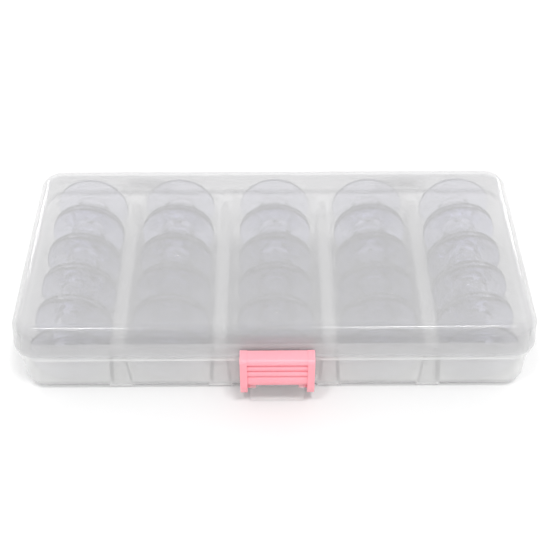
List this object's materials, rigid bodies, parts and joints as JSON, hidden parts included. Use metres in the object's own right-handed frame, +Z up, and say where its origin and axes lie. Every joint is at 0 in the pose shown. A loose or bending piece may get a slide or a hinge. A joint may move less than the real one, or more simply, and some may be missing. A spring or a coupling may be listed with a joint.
{
  "type": "bobbin box",
  "caption": "Shallow hinged translucent case with channels of empty clear sewing-machine bobbins standing on edge, closed by a pink pivoting front latch.",
  "frame": {"origin": "centre of the bounding box on the tray's flat underside", "axes": "+X along the case's width, +Y towards the lid hinge at the back, +Z up; the latch is on the -Y side"},
  "size_m": [0.136, 0.0752, 0.024],
  "materials": {
    "case": "milky translucent polypropylene, satin",
    "lid": "milky translucent polypropylene, satin",
    "latch": "pink moulded plastic, satin",
    "bobbin": "clear polystyrene with a faint lilac tint, glossy"
  },
  "bodies": {
    "case": {"tray": "case"},
    "lid": {"lid": "lid"},
    "latch": {"latch": "latch"},
    "bobbin_c1_r1": {"bobbin_c1_r1": "bobbin"},
    "bobbin_c1_r2": {"bobbin_c1_r2": "bobbin"},
    "bobbin_c1_r3": {"bobbin_c1_r3": "bobbin"},
    "bobbin_c1_r4": {"bobbin_c1_r4": "bobbin"},
    "bobbin_c1_r5": {"bobbin_c1_r5": "bobbin"},
    "bobbin_c2_r1": {"bobbin_c2_r1": "bobbin"},
    "bobbin_c2_r2": {"bobbin_c2_r2": "bobbin"},
    "bobbin_c2_r3": {"bobbin_c2_r3": "bobbin"},
    "bobbin_c2_r4": {"bobbin_c2_r4": "bobbin"},
    "bobbin_c2_r5": {"bobbin_c2_r5": "bobbin"},
    "bobbin_c3_r1": {"bobbin_c3_r1": "bobbin"},
    "bobbin_c3_r2": {"bobbin_c3_r2": "bobbin"},
    "bobbin_c3_r3": {"bobbin_c3_r3": "bobbin"},
    "bobbin_c3_r4": {"bobbin_c3_r4": "bobbin"},
    "bobbin_c3_r5": {"bobbin_c3_r5": "bobbin"},
    "bobbin_c4_r1": {"bobbin_c4_r1": "bobbin"},
    "bobbin_c4_r2": {"bobbin_c4_r2": "bobbin"},
    "bobbin_c4_r3": {"bobbin_c4_r3": "bobbin"},
    "bobbin_c4_r4": {"bobbin_c4_r4": "bobbin"},
    "bobbin_c4_r5": {"bobbin_c4_r5": "bobbin"},
    "bobbin_c5_r1": {"bobbin_c5_r1": "bobbin"},
    "bobbin_c5_r2": {"bobbin_c5_r2": "bobbin"},
    "bobbin_c5_r3": {"bobbin_c5_r3": "bobbin"},
    "bobbin_c5_r4": {"bobbin_c5_r4": "bobbin"},
    "bobbin_c5_r5": {"bobbin_c5_r5": "bobbin"}
  },
  "joints": [
    {"name": "latch_hinge", "type": "hinge", "parent": "case", "child": "latch", "pos_m": [0.0006, -0.03468, 0.0052], "axis": [1, 0, 0], "range_deg": [0, 85]},
    {"name": "lid_hinge", "type": "hinge", "parent": "case", "child": "lid", "pos_m": [0, 0.03542, 0.0146], "axis": [-1, 0, 0], "range_deg": [0, 180]},
    {"name": "spin_bobbin_c1_r1", "type": "hinge", "parent": "case", "child": "bobbin_c1_r1", "pos_m": [-0.0538, -0.02408, 0.0118], "axis": [0, 1, 0], "continuous": true},
    {"name": "spin_bobbin_c1_r2", "type": "hinge", "parent": "case", "child": "bobbin_c1_r2", "pos_m": [-0.0538, -0.01223, 0.0118], "axis": [0, 1, 0], "continuous": true},
    {"name": "spin_bobbin_c1_r3", "type": "hinge", "parent": "case", "child": "bobbin_c1_r3", "pos_m": [-0.0538, -0.00038, 0.0118], "axis": [0, 1, 0], "continuous": true},
    {"name": "spin_bobbin_c1_r4", "type": "hinge", "parent": "case", "child": "bobbin_c1_r4", "pos_m": [-0.0538, 0.01147, 0.0118], "axis": [0, 1, 0], "continuous": true},
    {"name": "spin_bobbin_c1_r5", "type": "hinge", "parent": "case", "child": "bobbin_c1_r5", "pos_m": [-0.0538, 0.02332, 0.0118], "axis": [0, 1, 0], "continuous": true},
    {"name": "spin_bobbin_c2_r1", "type": "hinge", "parent": "case", "child": "bobbin_c2_r1", "pos_m": [-0.02775, -0.02408, 0.0118], "axis": [0, 1, 0], "continuous": true},
    {"name": "spin_bobbin_c2_r2", "type": "hinge", "parent": "case", "child": "bobbin_c2_r2", "pos_m": [-0.02775, -0.01223, 0.0118], "axis": [0, 1, 0], "continuous": true},
    {"name": "spin_bobbin_c2_r3", "type": "hinge", "parent": "case", "child": "bobbin_c2_r3", "pos_m": [-0.02775, -0.00038, 0.0118], "axis": [0, 1, 0], "continuous": true},
    {"name": "spin_bobbin_c2_r4", "type": "hinge", "parent": "case", "child": "bobbin_c2_r4", "pos_m": [-0.02775, 0.01147, 0.0118], "axis": [0, 1, 0], "continuous": true},
    {"name": "spin_bobbin_c2_r5", "type": "hinge", "parent": "case", "child": "bobbin_c2_r5", "pos_m": [-0.02775, 0.02332, 0.0118], "axis": [0, 1, 0], "continuous": true},
    {"name": "spin_bobbin_c3_r1", "type": "hinge", "parent": "case", "child": "bobbin_c3_r1", "pos_m": [0.0003, -0.02408, 0.0118], "axis": [0, 1, 0], "continuous": true},
    {"name": "spin_bobbin_c3_r2", "type": "hinge", "parent": "case", "child": "bobbin_c3_r2", "pos_m": [0.0003, -0.01223, 0.0118], "axis": [0, 1, 0], "continuous": true},
    {"name": "spin_bobbin_c3_r3", "type": "hinge", "parent": "case", "child": "bobbin_c3_r3", "pos_m": [0.0003, -0.00038, 0.0118], "axis": [0, 1, 0], "continuous": true},
    {"name": "spin_bobbin_c3_r4", "type": "hinge", "parent": "case", "child": "bobbin_c3_r4", "pos_m": [0.0003, 0.01147, 0.0118], "axis": [0, 1, 0], "continuous": true},
    {"name": "spin_bobbin_c3_r5", "type": "hinge", "parent": "case", "child": "bobbin_c3_r5", "pos_m": [0.0003, 0.02332, 0.0118], "axis": [0, 1, 0], "continuous": true},
    {"name": "spin_bobbin_c4_r1", "type": "hinge", "parent": "case", "child": "bobbin_c4_r1", "pos_m": [0.02775, -0.02408, 0.0118], "axis": [0, 1, 0], "continuous": true},
    {"name": "spin_bobbin_c4_r2", "type": "hinge", "parent": "case", "child": "bobbin_c4_r2", "pos_m": [0.02775, -0.01223, 0.0118], "axis": [0, 1, 0], "continuous": true},
    {"name": "spin_bobbin_c4_r3", "type": "hinge", "parent": "case", "child": "bobbin_c4_r3", "pos_m": [0.02775, -0.00038, 0.0118], "axis": [0, 1, 0], "continuous": true},
    {"name": "spin_bobbin_c4_r4", "type": "hinge", "parent": "case", "child": "bobbin_c4_r4", "pos_m": [0.02775, 0.01147, 0.0118], "axis": [0, 1, 0], "continuous": true},
    {"name": "spin_bobbin_c4_r5", "type": "hinge", "parent": "case", "child": "bobbin_c4_r5", "pos_m": [0.02775, 0.02332, 0.0118], "axis": [0, 1, 0], "continuous": true},
    {"name": "spin_bobbin_c5_r1", "type": "hinge", "parent": "case", "child": "bobbin_c5_r1", "pos_m": [0.0538, -0.02408, 0.0118], "axis": [0, 1, 0], "continuous": true},
    {"name": "spin_bobbin_c5_r2", "type": "hinge", "parent": "case", "child": "bobbin_c5_r2", "pos_m": [0.0538, -0.01223, 0.0118], "axis": [0, 1, 0], "continuous": true},
    {"name": "spin_bobbin_c5_r3", "type": "hinge", "parent": "case", "child": "bobbin_c5_r3", "pos_m": [0.0538, -0.00038, 0.0118], "axis": [0, 1, 0], "continuous": true},
    {"name": "spin_bobbin_c5_r4", "type": "hinge", "parent": "case", "child": "bobbin_c5_r4", "pos_m": [0.0538, 0.01147, 0.0118], "axis": [0, 1, 0], "continuous": true},
    {"name": "spin_bobbin_c5_r5", "type": "hinge", "parent": "case", "child": "bobbin_c5_r5", "pos_m": [0.0538, 0.02332, 0.0118], "axis": [0, 1, 0], "continuous": true}
  ]
}
